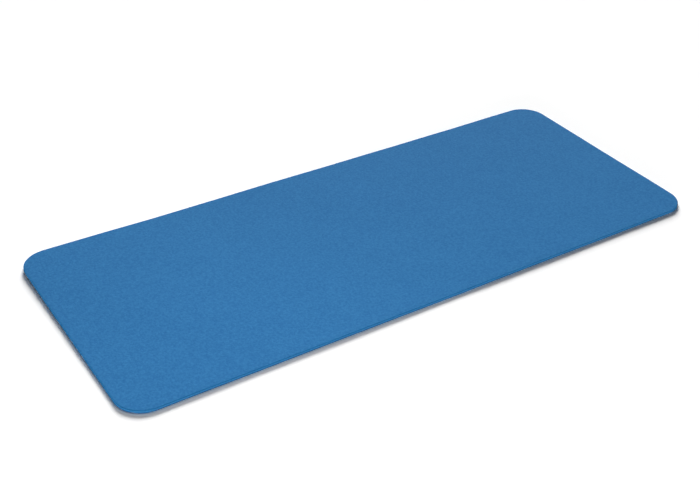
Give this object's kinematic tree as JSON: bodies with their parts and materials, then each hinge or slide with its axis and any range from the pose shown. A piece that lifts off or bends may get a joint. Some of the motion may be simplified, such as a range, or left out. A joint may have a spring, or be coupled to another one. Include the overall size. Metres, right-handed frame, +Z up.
{
  "type": "exercise mat",
  "caption": "Thin flexible rectangular exercise and balance mat with rounded corners, a laminate of grip skins, foam and scrim.",
  "frame": {"origin": "middle of the underside, where the mat rests on the floor", "axes": "+X along the long side, +Y along the short side, +Z up out of the top face"},
  "size_m": [0.7, 0.3, 0.003],
  "materials": {
    "top_skin": "matte blue foamed vinyl skin with a fine pressed grain",
    "foam": "closed-cell blue foam, cut edge",
    "scrim": "open-weave polyester yarn",
    "bottom_skin": "matte blue grip skin with a fine waffle grain"
  },
  "bodies": {
    "root": {"top_skin": "top_skin", "upper_foam_layer": "foam", "reinforcing_scrim": "scrim", "lower_foam_layer": "foam", "bottom_skin": "bottom_skin"}
  },
  "joints": []
}
